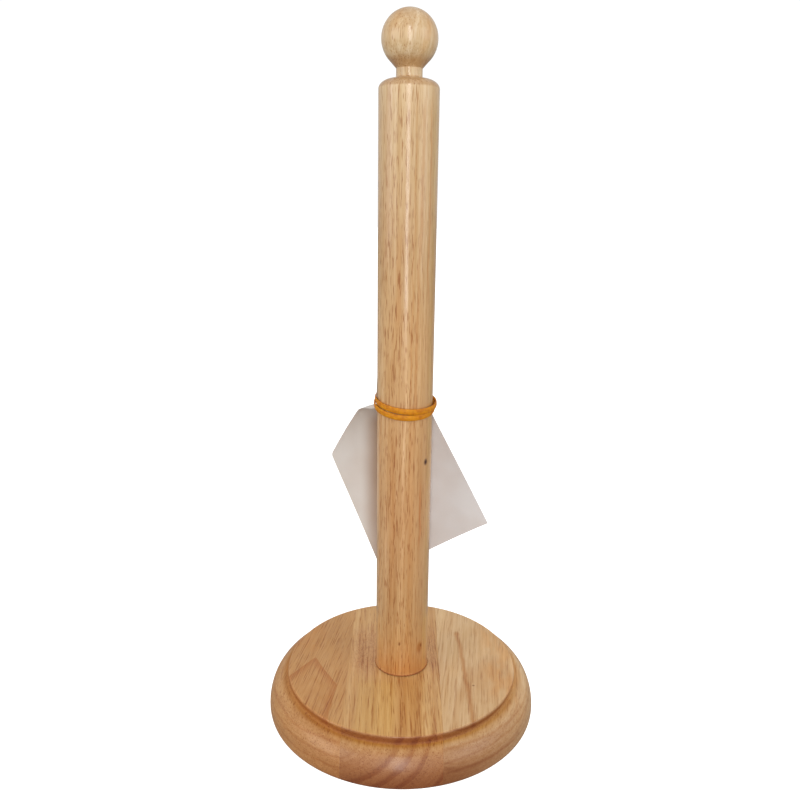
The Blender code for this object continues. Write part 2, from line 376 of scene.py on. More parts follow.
# satin-lacquered rubberwood; paint lays this piece's own colours and marks, and some painted light and shade,
# over the shared grain
lacquerLook = {
    "grimeRough": 0.10,
    "poreRough": 0.2,
    "dullRough": 0.25,
    "grimeCoat": 0.4,       # share of the coat that handling has worn away
    "endGrainLine": 0.8,    # growth lines show more on the end grain
    "sideGrainLine": 0.3,
    "relief": {"Fibre": 0.3, "Grime": 0.3, "Dash": -0.5},
    "bumpStrength": 0.35,
    "bumpDepth": 0.1 * mm,
}


def woodMaterial(name, look, alongY, paint):
    lacquer = lacquerLook
    material, tree, shader, coords = newMaterial(name)
    spot = millimetres(tree, coords["Object"])
    parts = splitXyz(tree, spot)
    order = (0, 2, 1) if alongY else (0, 1, 2)  # the boards' grain runs along y
    across, through, along = [parts[i] for i in order]
    straight = joinXyz(tree, across, through, along)
    slanted = joinXyz(tree, calc(tree, "MULTIPLY_ADD", along, look["slant"], across), through, along)
    facing = splitXyz(tree, coords["Normal"])
    endGrain = calc(tree, "ABSOLUTE", facing[order[2]])
    rings = useGroup(tree, ringGroup, {
        "Position": straight, "Pith X": look["pith"][0], "Pith Y": look["pith"][1],
        "Lean X": look["lean"][0], "Lean Y": look["lean"][1],
        "Ring Width": look["ringWidth"], "Waver": look["waver"], "Seed": look["seed"]})
    fibre = useGroup(tree, fibreGroup, {"Position": slanted, "Dash Width": look["dashWidth"],
                                        "Dash Length": look["dashLength"], "Seed": look["seed"]})
    pores = useGroup(tree, poreGroup, {
        "Position": slanted, "Spacing": look["poreSpacing"], "Length": look["poreLength"],
        "Size": look["poreSize"], "Share": look["poreShare"], "Seed": look["seed"]})
    base, poreGain, dull = paint(tree, spot, parts, fibre)
    lineGain = calc(tree, "MULTIPLY_ADD", endGrain, lacquer["endGrainLine"], lacquer["sideGrainLine"])
    layers = (  # mask, strength, colour laid over
        (calc(tree, "SUBTRACT", 1.0, rings["Broad"]), look["broad"], look["paleRing"]),
        (rings["Streak"], look["streak"], look["warmRing"]),
        (calc(tree, "MULTIPLY", rings["Line"], lineGain), look["line"], look["deep"]),
        (fibre["Band"], look["band"], look["warmRing"]),
        (calc(tree, "SUBTRACT", 1.0, fibre["Band"]), look["band"], look["paleRing"]),
        (fibre["Fibre"], look["fibre"], look["warmRing"]),
        (calc(tree, "MULTIPLY", fibre["Dash"], poreGain), look["dash"], look["dashTone"]),
        (endGrain, look["endGrain"], look["endTone"]),
    )
    for mask, strength, shade in layers:
        base = stain(tree, product(tree, mask, strength), base, shade)
    darkPores = product(tree, pores["Mask"], poreGain, look["poreDepth"])
    base = stain(tree, darkPores, base, look["pore"])
    tree.links.new(base, shader.inputs["Base Color"])
    rough = look["roughness"]
    for mask, amount in ((fibre["Grime"], "grimeRough"), (darkPores, "poreRough"), (dull, "dullRough")):
        rough = calc(tree, "MULTIPLY_ADD", mask, lacquer[amount], rough)
    tree.links.new(rough, shader.inputs["Roughness"])
    coat = calc(tree, "MULTIPLY_ADD", fibre["Grime"], -look["coat"] * lacquer["grimeCoat"], look["coat"])
    coat = calc(tree, "MULTIPLY", coat, calc(tree, "SUBTRACT", 1.0, dull))
    tree.links.new(coat, shader.inputs["Coat Weight"])
    shader.inputs["Coat Roughness"].default_value = look["coatRoughness"]
    shader.inputs["Specular IOR Level"].default_value = look["specular"]
    height = calc(tree, "MULTIPLY", pores["Mask"], -1.0)
    for label, amount in lacquer["relief"].items():
        height = calc(tree, "MULTIPLY_ADD", fibre[label], amount, height)
    addBump(tree, shader, height, lacquer["bumpStrength"], lacquer["bumpDepth"])
    return material


# camera and light
cameraLook = {
    "sensor": 36,
    "distance": 360.81 * mm,
    "height": 262.12 * mm,
    "pitch": 15.549,      # degrees down
    "roll": -0.7735,      # degrees
    "lens": 34.533,
    "shiftX": -0.00604,
    "shiftY": 0.00985,
}


def makeCamera():
    pitch, roll = radians(cameraLook["pitch"]), radians(cameraLook["roll"])
    ahead = Vector((0, cos(pitch), -sin(pitch)))
    right = Vector((1, 0, 0))
    below = ahead.cross(right)
    tiltedRight = right * cos(roll) + below * sin(roll)
    tiltedBelow = below * cos(roll) - right * sin(roll)
    data = bpy.data.cameras.new("viewCamera")
    data.lens = cameraLook["lens"]
    data.sensor_width = cameraLook["sensor"]
    data.shift_x = cameraLook["shiftX"]
    data.shift_y = cameraLook["shiftY"]
    data.clip_start = 0.01
    camera = bpy.data.objects.new("viewCamera", data)
    turn = Matrix((tiltedRight, -tiltedBelow, -ahead)).transposed().to_4x4()
    camera.matrix_world = Matrix.Translation((0, -cameraLook["distance"], cameraLook["height"])) @ turn
    bpy.context.scene.collection.objects.link(camera)
    bpy.context.scene.camera = camera


lightLook = {
    "white": (1, 1, 1, 1),
    "ambient": 0.62,
    "backdrop": 1.05,
    "lamps": [  # name, place, aim, width, height, watts, colour, shows in the gloss
        ("frontWindow", (-0.02, -1.2, 0.46), (0, 0, 0.2), 0.22, 1.35, 8.0, (1.0, 0.99, 0.97), True),
        ("leftPanel", (-1.30, -0.75, 0.60), (0, 0, 0.14), 1.0, 1.0, 6.3, (1.0, 0.99, 0.97), True),
        ("rightPanel", (1.30, -0.75, 0.60), (0, 0, 0.14), 1.0, 1.0, 5.8, (1.0, 0.99, 0.97), True),
        ("backLeft", (-0.90, 1.10, 0.30), (0, 0, 0.12), 0.9, 0.9, 2.2, (1.0, 0.99, 0.98), False),
        ("backRight", (0.90, 1.10, 0.30), (0, 0, 0.12), 0.9, 0.9, 2.2, (1.0, 0.99, 0.98), False),
    ],
    "floorSize": 6.0,
    "floorDrop": 0.2 * mm,    # keeps the floor just clear of the base
    "floorRoughness": 0.9,
    "floorBounce": 0.34,
    "floorShade": 0.62,
    "floorLift": 0.95,
}


def makeLights():
    world = bpy.data.worlds.new("studio")
    bpy.context.scene.world = world
    world.use_nodes = True
    tree = world.node_tree
    camera = tree.nodes.new("ShaderNodeLightPath").outputs["Is Camera Ray"]
    levels = {0: camera, 3: lightLook["ambient"], 4: lightLook["backdrop"]}
    strength = addNode(tree, "ShaderNodeMapRange", levels).outputs[0]
    tree.links.new(strength, tree.nodes["Background"].inputs["Strength"])
    tree.nodes["Background"].inputs["Color"].default_value = lightLook["white"]
    for name, place, aim, width, height, watts, shade, glossy in lightLook["lamps"]:
        data = bpy.data.lights.new(name, "AREA")
        data.shape = "RECTANGLE"
        data.size = width
        data.size_y = height
        data.energy = watts
        data.color = shade
        lamp = bpy.data.objects.new(name, data)
        lamp.location = place
        lamp.visible_camera = False
        lamp.visible_glossy = glossy
        lamp.rotation_euler = (Vector(aim) - Vector(place)).to_track_quat("-Z", "Y").to_euler()
        bpy.context.scene.collection.objects.link(lamp)


def makeFloor():  # reads as white, with a faint shadow, and throws little light back up
    bm = bmesh.new()
    bmesh.ops.create_grid(bm, x_segments=8, y_segments=8, size=lightLook["floorSize"])
    mesh = bpy.data.meshes.new("paleFloor")
    bm.to_mesh(mesh)
    bm.free()
    material, tree, shader = newMaterial("paleFloor")[:3]

    def grey(label):
        return (lightLook[label], lightLook[label], lightLook[label], 1)

    shader.inputs["Base Color"].default_value = grey("floorShade")
    shader.inputs["Roughness"].default_value = lightLook["floorRoughness"]
    shader.inputs["Emission Color"].default_value = grey("floorLift")
    shader.inputs["Emission Strength"].default_value = 1.0
    dim = addNode(tree, "ShaderNodeBsdfDiffuse", {"Color": grey("floorBounce")})
    camera = tree.nodes.new("ShaderNodeLightPath").outputs["Is Camera Ray"]
    both = addNode(tree, "ShaderNodeMixShader", {0: camera, 1: dim.outputs[0], 2: shader.outputs[0]})
    tree.links.new(both.outputs[0], tree.nodes["Material Output"].inputs["Surface"])
    mesh.materials.append(material)
    floor = bpy.data.objects.new("paleFloor", mesh)
    floor.location.z = cadBox[0][2] - lightLook["floorDrop"]
    bpy.context.scene.collection.objects.link(floor)


makeCamera()
makeLights()
makeFloor()
bpy.context.scene.view_settings.view_transform = "Standard"
print("camera, light and floor ready")


# the base: three boards, glued and turned
baseShape = {
    "discRadius": 60.0 * mm,
    "step": 4.0 * mm,
    "edge": 0.7 * mm,
    "cove": 1.2 * mm,
    "widest": 2.0 * mm,
    "footInset": 0.5 * mm,
    "segments": 192,
    "glueGap": 0.02 * mm,
    "screwHead": 4.8 * mm,   # the countersunk hole under the middle board
    "screwShank": 2.55 * mm,
    "headDepth": 1.2 * mm,
}


def baseProfile(drilled):
    shape = baseShape
    disc, top, cove, widest = shape["discRadius"], baseTop, shape["cove"], shape["widest"]
    stepZ = top - shape["step"]
    rimInner = disc + cove
    head, shank, depth = shape["screwHead"], shape["screwShank"], shape["headDepth"]
    inner = shank if drilled else 0.0
    edge, inset = shape["edge"], shape["footInset"]
    profile = [(inner, top)] + linePoints((inner, top), (disc - edge, top), 14)
    profile += arcPoints((disc - edge, top - edge), (edge, edge), 90, 0, 6)[1:]
    profile += arcPoints((rimInner, stepZ + cove), (cove, cove), 180, 270, 8)
    profile += arcPoints((rimInner, widest), (baseRadius - rimInner, stepZ - widest), 90, 0, 26)[1:]
    profile += arcPoints((baseRadius - inset, widest), (inset, widest), 0, -90, 8)[1:]
    profile += linePoints(profile[-1], (head if drilled else 0.0, 0.0), 10)
    if drilled:
        profile += [(head, depth), (shank, depth + head - shank), (shank, top)]
    return profile


def cutStave(bm, planeX, keepLeft):  # keeps one side of a vertical plane and closes the cut
    geometry = bm.verts[:] + bm.edges[:] + bm.faces[:]
    normal = (1, 0, 0) if keepLeft else (-1, 0, 0)
    cut = bmesh.ops.bisect_plane(bm, geom=geometry, plane_co=(planeX, 0, 0), plane_no=normal,
                                 clear_outer=True, dist=1e-7)
    rim = [e for e in cut["geom_cut"] if isinstance(e, bmesh.types.BMEdge)]
    bmesh.ops.holes_fill(bm, edges=rim, sides=0)


rubberwood = {
    "paleRing": (1.09, 1.12, 1.14, 1),
    "warmRing": (0.92, 0.85, 0.73, 1),
    "deep": (0.78, 0.62, 0.48, 1),
    "dashTone": (0.66, 0.48, 0.33, 1),
    "pore": (0.58, 0.39, 0.25, 1),
    "broad": 0.8,
    "streak": 0.7,
    "line": 0.6,
    "band": 0.7,
    "fibre": 0.7,
    "dash": 1.0,
    "dashWidth": 0.45,
    "dashLength": 15.0,
    "endGrain": 1.0,
    "slant": 0.0,
    "poreSpacing": 1.1,
    "poreLength": 9.0,
    "poreSize": 0.26,
    "poreShare": 0.45,
    "poreDepth": 0.6,
    "roughness": 0.38,
    "coat": 0.30,
    "coatRoughness": 0.22,
    "specular": 0.40,
    "waver": 1.5,
}

# endTone darkens the end grain; on the boards it is darker than end grain alone, as painted shade on the
# rim's faces across the grain, which get less light than the top
staveLooks = {
    "left": {**rubberwood, "pith": (-45.5, -59.5), "lean": (0.0, -0.048), "ringWidth": 3.6, "seed": 1.3,
             "slant": -0.16, "line": 0.5, "endTone": (0.77, 0.67, 0.68, 1), "tone": colour(198, 150, 95)},
    "middle": {**rubberwood, "pith": (-62.0, 72.0), "lean": (0.01, 0.0), "ringWidth": 6.0, "seed": 8.1,
               "slant": 0.04, "line": 1.6, "endTone": (0.52, 0.35, 0.31, 1),
               "tone": colour(208, 165, 112)},
    "right": {**rubberwood, "pith": (46.0, 88.0), "lean": (0.03, 0.06), "ringWidth": 6.0, "seed": 15.6,
              "slant": -0.10, "dash": 0.8, "line": 0.9, "endTone": (0.42, 0.25, 0.16, 1),
              "tone": colour(217, 183, 140)},
}

# what the lathe and the finish leave on every board, with painted light and shade, millimetres
turningLook = {
    "faceEdge": (16.8, 18.6),          # heights over which the face's marks fade out
    "coveTop": (20.2, 18.8),           # finish gathers, and painted shade darkens the cove, between these heights
    "coveBottom": (8.0, 14.0),
    "coveReach": (60.9, 64.6),
    "coveFront": (-5.0, -50.0),        # the darkening, painted shade as well as pooled finish, shows more towards the front
    "coveSides": 0.5,
    "coveTone": (0.77, 0.58, 0.28, 1),
    "edgeHighlightReach": (59.2, 60.4, 0.5),  # a painted highlight along the disc's edge
    "paintedLightShadeHeight": (18.8, 20.0),
    "paintedLightShadeTone": (1.08, 1.06, 1.04, 1),
    # painted shade: darker low on the rim's front, where it turns under, fading towards the sides
    "footHeight": (12.0, 1.0),
    "footReach": (62.0, 68.0),
    "footSides": (20.0, 50.0),
    "footTone": (0.76, 0.64, 0.52, 1),
    "rimTop": (18.4, 16.6),            # growth lines run round the rim below this
    "rimWander": (14.0, 2.4),          # length and height of their waves
    "rimLineTone": (0.88, 0.78, 0.68, 1),
}

# marks on the boards' faces, millimetres
leftMarks = {
    "waver": ((0.08, 0.08, 0.08), 2.4),
    "arrow": [((-58.5, -15.0), (-46.6, 2.7)), ((-46.6, 2.7), (-32.8, -21.6)),
              ((-32.8, -21.6), (-34.4, -44.3))],
    "arrowEdge": (-0.3, 0.4),
    "arrowFade": (0.3, 5.5),    # the dark line fades inwards over this depth
    "arrowTone": (0.86, 0.70, 0.54, 1),
    "insideTone": (0.98, 0.93, 0.86, 1),
    "orangeArea": (-60, -44, 10, 40),
    "orangeTone": (1.05, 0.94, 0.76, 1),
    "orangeSoft": 5.0,
    "rimLines": [(14.4, 0.08, -42, 0.9), (9.6, 0.05, -48, 0.8), (5.2, 0.04, -50, 0.8)],
}
middleMarks = {
    "waver": ((0.2, 0.2, 0.2), 1.2),
    "laceSoft": 4.0,
    "areaSoft": 2.5,
    "laceStrength": 0.8,
    "laceAreas": [(-27, -12, -8, 30), (13.5, 19, -8, 30)],
    "laceTone": (0.96, 0.90, 0.90, 1),
    "laceLine": (0.76, 0.62, 0.54, 1),
    "goldArea": (-22, -3, -60, -17),
    "goldTone": (1.0, 1.0, 0.86, 1),
    "brownArea": (-2, 10, -60, -15),
    "brownTone": (0.90, 0.80, 0.66, 1),
    "stripedArea": (7, 20, -62, 20),
    "stripeTone": (0.76, 0.61, 0.47, 1),
    "paleTone": (1.07, 1.12, 1.16, 1),
    "stripeStretch": (0.9, 0.05, 0.3),
    "stripeEdge": (0.52, 0.63),
    "stripeStrength": 0.9,
    "stripePores": 0.4,                      # extra vessels among the stripes
    "check": ((0.9, -35.0), (0.6, -53.0)),   # a short dark line in the grain
    "checkWidth": 0.8,
    "checkStrength": 0.8,
}
rightMarks = {
    "waver": ((0.05, 0.12, 0.1), 3.0),
    "stripes": [((31.6, 25.5), (33.6, -12.0)), ((33.6, -12.0), (35.1, -50.0))],
    "stripeWidth": 2.2,
    "stripeTone": (0.80, 0.62, 0.44, 1),
    "blot": (31.4, 27.0, 20.5),
    "blotSize": 2.4,
    "blotStretch": (1.0, 1.6, 1.0),
    "poreGain": 0.9,
    "orangeArea": (44, 62, -30, 40),
    "orangeTone": (1.0, 0.86, 0.68, 1),
    "orangeSoft": 5.0,
    "knots": [(37.0, -20.5, 20.5)],
    "knotSize": 0.9,
    "knotTone": (0.5, 0.38, 0.28, 1),
    "rimLines": [(14.6, -0.05, 40, 0.8), (11.0, 0.0, 30, 0.9), (6.3, -0.03, 33, 0.9)],
}


def onTop(tree, parts):  # fades the face's marks out over the rim
    return ease(tree, parts[2], *turningLook["faceEdge"])


# growth lines that run round the rim; each has a height, a slope, its middle x and a half width
def paintRim(tree, parts, base, lines):
    look = turningLook
    waveLength, waveHeight = look["rimWander"]
    wave = noiseAlong(tree, calc(tree, "DIVIDE", parts[0], waveLength))
    wander = centred(tree, wave, waveHeight)
    rim = ease(tree, parts[2], *look["rimTop"])
    for height, slope, middle, halfWidth in lines:
        level = calc(tree, "MULTIPLY_ADD", parts[0], slope, height - slope * middle)
        gap = calc(tree, "ABSOLUTE", calc(tree, "SUBTRACT", calc(tree, "ADD", parts[2], wander), level))
        mask = product(tree, ease(tree, gap, 0.0, halfWidth, 1.0, 0.0), rim)
        base = stain(tree, mask, base, look["rimLineTone"])
    return base


def paintTurning(tree, parts, base, fibre):  # finish gathered below the disc with painted shade in the cove, a painted highlight on the disc's edge, and painted shade low on the rim's front
    look = turningLook
    squares = [calc(tree, "POWER", part, 2.0) for part in parts[:2]]
    reach = calc(tree, "SQRT", calc(tree, "ADD", *squares))
    pooledFinishAndShade = product(tree, ease(tree, parts[2], *look["coveTop"]),
                       ease(tree, parts[2], *look["coveBottom"]),
                       ease(tree, reach, *look["coveReach"], 1.0, 0.0))
    # painted shade with pooled finish: the cove darkens, most at the front
    coveShadeAndFinish = product(tree, pooledFinishAndShade, ease(tree, parts[1], *look["coveFront"], look["coveSides"], 1.0))
    base = stain(tree, coveShadeAndFinish, base, look["coveTone"])
    # painted highlight: a lighter line along the disc's edge, broken up by the handling noise
    edgeHighlight = product(tree, betweenMask(tree, reach, *look["edgeHighlightReach"]),
                     ease(tree, parts[2], *look["paintedLightShadeHeight"]), calc(tree, "SUBTRACT", 1.0, fibre["Grime"]))
    base = stain(tree, edgeHighlight, base, look["paintedLightShadeTone"])
    # painted shade low on the rim's front, where it turns under
    foot = product(tree, ease(tree, parts[2], *look["footHeight"]), ease(tree, reach, *look["footReach"]),
                   ease(tree, calc(tree, "ABSOLUTE", parts[0]), *look["footSides"], 1.0, 0.0))
    return stain(tree, foot, base, look["footTone"]), pooledFinishAndShade


def waverX(tree, spot, stretch, reach):  # shifts points a little sideways so that marks aren't ruled lines
    wander = noise(tree, vectorCalc(tree, "MULTIPLY", spot, stretch), 2.0)
    moved = vectorCalc(tree, "ADD", spot, joinXyz(tree, centred(tree, wander, reach), 0.0, 0.0))
    return vectorCalc(tree, "MULTIPLY", moved, (1, 1, 0))


def strongest(tree, masks):
    result = masks[0]
    for mask in masks[1:]:
        result = calc(tree, "MAXIMUM", result, mask)
    return result


def paintOrange(tree, parts, base, fibre, marks):  # a warmer patch, broken up by the mottling
    orange = patchMask(tree, parts[0], parts[1], marks["orangeArea"], marks["orangeSoft"])
    return stain(tree, product(tree, orange, fibre["Mottle"]), base, marks["orangeTone"])


def paintLeft(tree, spot, parts, fibre):
    marks = leftMarks
    flat = waverX(tree, spot, *marks["waver"])
    sides = []
    for start, finish in marks["arrow"]:  # how far inside the arrow-shaped growth line
        run = Vector((finish[0] - start[0], finish[1] - start[1], 0)).normalized()
        away = vectorCalc(tree, "SUBTRACT", flat, (start[0], start[1], 0))
        sides.append(vectorCalc(tree, "DOT_PRODUCT", away, (run.y, -run.x, 0), "Value"))
    depth = sides[0]
    for side in sides[1:]:
        depth = calc(tree, "MINIMUM", depth, side)
    inside = product(tree, ease(tree, depth, *marks["arrowEdge"]), onTop(tree, parts))
    base = stain(tree, inside, staveLooks["left"]["tone"], marks["insideTone"])
    line = product(tree, inside, ease(tree, depth, *marks["arrowFade"], 1.0, 0.0))
    base = stain(tree, line, base, marks["arrowTone"])
    base = paintOrange(tree, parts, base, fibre, marks)
    base = paintRim(tree, parts, base, marks["rimLines"])
    base, dull = paintTurning(tree, parts, base, fibre)
    return base, 1.0, dull


def paintMiddle(tree, spot, parts, fibre):
    marks = middleMarks
    top = onTop(tree, parts)
    areas = [patchMask(tree, parts[0], parts[1], area, marks["laceSoft"]) for area in marks["laceAreas"]]
    lace = product(tree, strongest(tree, areas), top)
    base = stain(tree, lace, staveLooks["middle"]["tone"], marks["laceTone"])
    web = product(tree, lace, fibre["Lace"], marks["laceStrength"])
    base = stain(tree, web, base, marks["laceLine"])
    for area, shade in (("goldArea", "goldTone"), ("brownArea", "brownTone")):
        patch = patchMask(tree, parts[0], parts[1], marks[area], marks["areaSoft"])
        base = stain(tree, patch, base, marks[shade])
    striped = patchMask(tree, parts[0], parts[1], marks["stripedArea"], marks["areaSoft"])
    base = stain(tree, striped, base, marks["paleTone"])
    lengths = vectorCalc(tree, "MULTIPLY", spot, marks["stripeStretch"])
    stripes = product(tree, striped, ease(tree, noise(tree, lengths, 2.0, 0.6), *marks["stripeEdge"]),
                      marks["stripeStrength"])
    base = stain(tree, stripes, base, marks["stripeTone"])
    check = stripeMask(tree, waverX(tree, spot, *marks["waver"]), *marks["check"], marks["checkWidth"])
    check = product(tree, check, top, marks["checkStrength"])
    base = stain(tree, check, base, marks["stripeTone"])
    base, dull = paintTurning(tree, parts, base, fibre)
    return base, calc(tree, "MULTIPLY_ADD", striped, marks["stripePores"], 1.0), dull


def paintRight(tree, spot, parts, fibre):
    marks = rightMarks
    flat = waverX(tree, spot, *marks["waver"])
    masks = [stripeMask(tree, flat, *ends, marks["stripeWidth"]) for ends in marks["stripes"]]
    masks.append(spotMask(tree, spot, marks["blot"], marks["blotSize"], marks["blotStretch"]))
    streak = product(tree, strongest(tree, masks), onTop(tree, parts))
    base = stain(tree, streak, staveLooks["right"]["tone"], marks["stripeTone"])
    base = paintOrange(tree, parts, base, fibre, marks)
    for centre in marks["knots"]:
        knot = spotMask(tree, spot, centre, marks["knotSize"])
        base = stain(tree, knot, base, marks["knotTone"])
    base = paintRim(tree, parts, base, marks["rimLines"])
    base, dull = paintTurning(tree, parts, base, fibre)
    return base, marks["poreGain"], dull


def makeBase():
    gap = baseShape["glueGap"] / 2
    cuts = {
        "left": ("base_stave_left", "leftBoard", paintLeft, [(seamLeft - gap, True)]),
        "middle": ("base_stave_middle", "middleBoard", paintMiddle,
                   [(seamLeft + gap, False), (seamRight - gap, True)]),
        "right": ("base_stave_right", "rightBoard", paintRight, [(seamRight + gap, False)]),
    }
    for side, (node, name, paint, planes) in cuts.items():
        bm = turnProfile(baseProfile(side == "middle"), baseShape["segments"])
        bmesh.ops.remove_doubles(bm, verts=bm.verts, dist=1e-7)
        for planeX, keepLeft in planes:
            cutStave(bm, planeX, keepLeft)
        material = woodMaterial(name + "Wood", staveLooks[side], True, paint)
        finishMesh(bm, name, material, "stand", node)


makeBase()
print("base boards ready")


# the post with its shoulder, neck and ball
postShape = {
    "ball": 24.7 * mm,
    "neck": 11.6 * mm,
    "neckFillet": 0.8 * mm,
    "taper": 48,             # degrees below the ball's middle where it runs into a cone
    "neckTop": 314.8 * mm,
    "shoulder": 306.3 * mm,
    "shoulderRise": 4.4 * mm,
    "footRise": 1.2 * mm,
    "segments": 128,
}


def postProfile():
    shape = postShape
    ballRadius, neckRadius, fillet = shape["ball"] / 2, shape["neck"] / 2, shape["neckFillet"]
    shoulder, rise, footRise = shape["shoulder"], shape["shoulderRise"], shape["footRise"]
    neckFoot = shoulder + rise + fillet
    shoulderReach = postRadius - neckRadius - fillet
    footTop = postLow.z + footRise
    profile = arcPoints((0.0, postTop - ballRadius), (ballRadius, ballRadius), 90, -shape["taper"], 44)
    profile[0] = (0.0, postTop)
    profile += linePoints(profile[-1], (neckRadius, shape["neckTop"]), 5)
    profile += linePoints(profile[-1], (neckRadius, neckFoot), 4)
    profile += arcPoints((neckRadius + fillet, neckFoot), (fillet, fillet), 180, 270, 6)[1:]
    profile += arcPoints((neckRadius + fillet, shoulder), (shoulderReach, rise), 90, 0, 18)[1:]
    profile += linePoints(profile[-1], (postRadius, footTop), 60)
    profile += arcPoints((postRadius + footFlare, footTop), (footFlare, footRise), 180, 270, 6)[1:]
    profile += linePoints(profile[-1], (0.0, postLow.z), 4)
    return profile


postLook = {
    **rubberwood, "pith": (70.0, 55.0), "lean": (0.02, 0.01), "ringWidth": 6.0, "seed": 4.4,
    "endGrain": 0.3, "streak": 0.5, "line": 0.2, "poreShare": 0.9, "poreDepth": 1.0, "band": 0.8,
    "dashWidth": 0.5, "dashLength": 8.5,
    "coat": 0.70, "coatRoughness": 0.17, "endTone": (0.86, 0.78, 0.72, 1),
    "tones": [  # height in millimetres, colour; the paler, brighter tones up the post are partly painted light from above, and the darker ball top is painted shade
        (22, colour(189, 139, 88)), (48, colour(187, 145, 98)), (110, colour(196, 151, 105)),
        (190, colour(202, 161, 114)), (240, colour(199, 164, 122)), (290, colour(203, 172, 131)),
        (318, colour(217, 191, 154)), (336, colour(204, 175, 138)),
    ],
    "streaks": [  # distance round from the front, drift per mm up, half width, low, high, colour, strength
        # the first two are pale grain streaks down the front, partly painted highlight
        (0.1, 0.004, 0.75, 20, 312, (1.12, 1.18, 1.30, 1), 0.9),
        (-1.2, 0.016, 0.50, 20, 150, (1.12, 1.18, 1.30, 1), 0.9),
        (-9.6, 0.010, 2.4, 230, 308, (1.05, 1.05, 1.16, 1), 1.0),
        (-9.2, 0.0, 1.3, 20, 165, (1.10, 1.16, 1.28, 1), 1.0),
        (-14.0, 0.0, 1.6, 20, 165, (1.0, 0.90, 0.76, 1), 0.9),
        (-5.6, 0.0, 2.2, 60, 150, (0.97, 0.88, 0.76, 1), 0.8),
        (-3.4, 0.0, 2.0, 205, 245, (1.0, 0.92, 0.84, 1), 0.8),
        (6.0, 0.02, 1.2, 160, 300, (0.94, 0.84, 0.74, 1), 0.9),
        (3.4, 0.0, 2.0, 20, 165, (0.98, 0.90, 0.80, 1), 0.7),
        (3.2, 0.01, 0.6, 170, 306, (0.95, 0.85, 0.74, 1), 0.8),
        (7.9, 0.01, 0.7, 170, 306, (1.06, 1.10, 1.20, 1), 0.8),
        (9.4, 0.0, 0.7, 240, 306, (1.08, 1.12, 1.20, 1), 0.8),
        (11.2, 0.0, 0.8, 215, 300, (0.96, 0.82, 0.68, 1), 0.9),
        (8.6, 0.0, 0.9, 95, 125, (1.02, 0.82, 0.70, 1), 0.9),
        (14.5, 0.0, 3.0, 20, 300, (0.97, 0.98, 0.84, 1), 0.9),
        (-27.0, 0.01, 3.0, 20, 312, (1.06, 1.08, 1.16, 1), 0.8),
        (30.0, -0.01, 2.0, 20, 312, (0.93, 0.84, 0.72, 1), 0.8),
        (40.0, 0.01, 1.5, 20, 312, (1.08, 1.10, 1.18, 1), 0.8),
        # a pale streak across the ball's front, partly grain, partly painted highlight
        (2.6, 0.35, 1.8, 316, 341, (1.12, 1.20, 1.34, 1), 1.0),
        (-8.0, 0.10, 4.5, 327, 341, (0.98, 0.90, 0.78, 1), 0.9),
        (9.5, 0.30, 3.0, 318, 336, (0.98, 0.88, 0.76, 1), 0.9),
    ],
    "waves": [(30.0, 2.4), (7.0, 0.7)],   # length and width of the streaks' wander
    "streakEnds": 6.0,
    "bands": [  # low, high, soft edge, colour: the shades that run round the post
        (306.9, 311.4, 0.5, (0.80, 0.72, 0.66, 1)),
        (311.4, 314.4, 0.5, (0.92, 0.94, 0.95, 1)),
        # painted shade under the ball, where it narrows into the neck
        (314.6, 318.6, 2.0, (0.78, 0.66, 0.53, 1)),
    ],
    "edgeLightTone": (1.22, 1.42, 1.72, 1),   # painted light: paler towards both sides, low down, as the bright surroundings light the post's edges
    "edgeLightReach": (7.0, 17.0),
    "edgeLightHeight": (260.0, 90.0),
    "edgeLightShift": (-5.0, 5.0, 1.0, 0.5),  # and less so on the right
    "knots": [  # place, size, stretch, colour
        ((10.9, -8.9, 137.0), 1.9, (1.0, 1.0, 1.3), (0.10, 0.04, 0.02, 1)),
        ((9.3, -9.9, 35.6), 2.8, (1.0, 1.0, 1.6), (0.76, 0.56, 0.36, 1)),
        ((9.9, -9.2, 36.4), 0.9, (1.0, 1.0, 1.6), (0.60, 0.42, 0.28, 1)),
        ((-1.2, -13.4, 39.5), 0.8, (1.0, 1.0, 1.8), (0.50, 0.36, 0.24, 1)),
        ((-7.3, -9.9, 320.0), 1.2, (1.0, 1.0, 1.3), (0.55, 0.40, 0.32, 1)),
    ],
    # painted shade and warm bounce from the base: darker and warmer just above it, broken up by the mottling
    "footTone": (0.94, 0.82, 0.64, 1),
    "footHeight": (34.0, 21.0),
    "footMottle": 0.6,
    "glueTone": (0.62, 0.44, 0.28, 1),
    "glueHeight": (21.5, 20.9),
    "dullHeight": (22.4, 21.6),
    "dashSide": (9.0, -2.0),             # vessels show more from here round to the left
    "dashGain": (0.9, 0.6),
    "ballDashes": (308.0, 318.0, 1.0, 0.6),
}


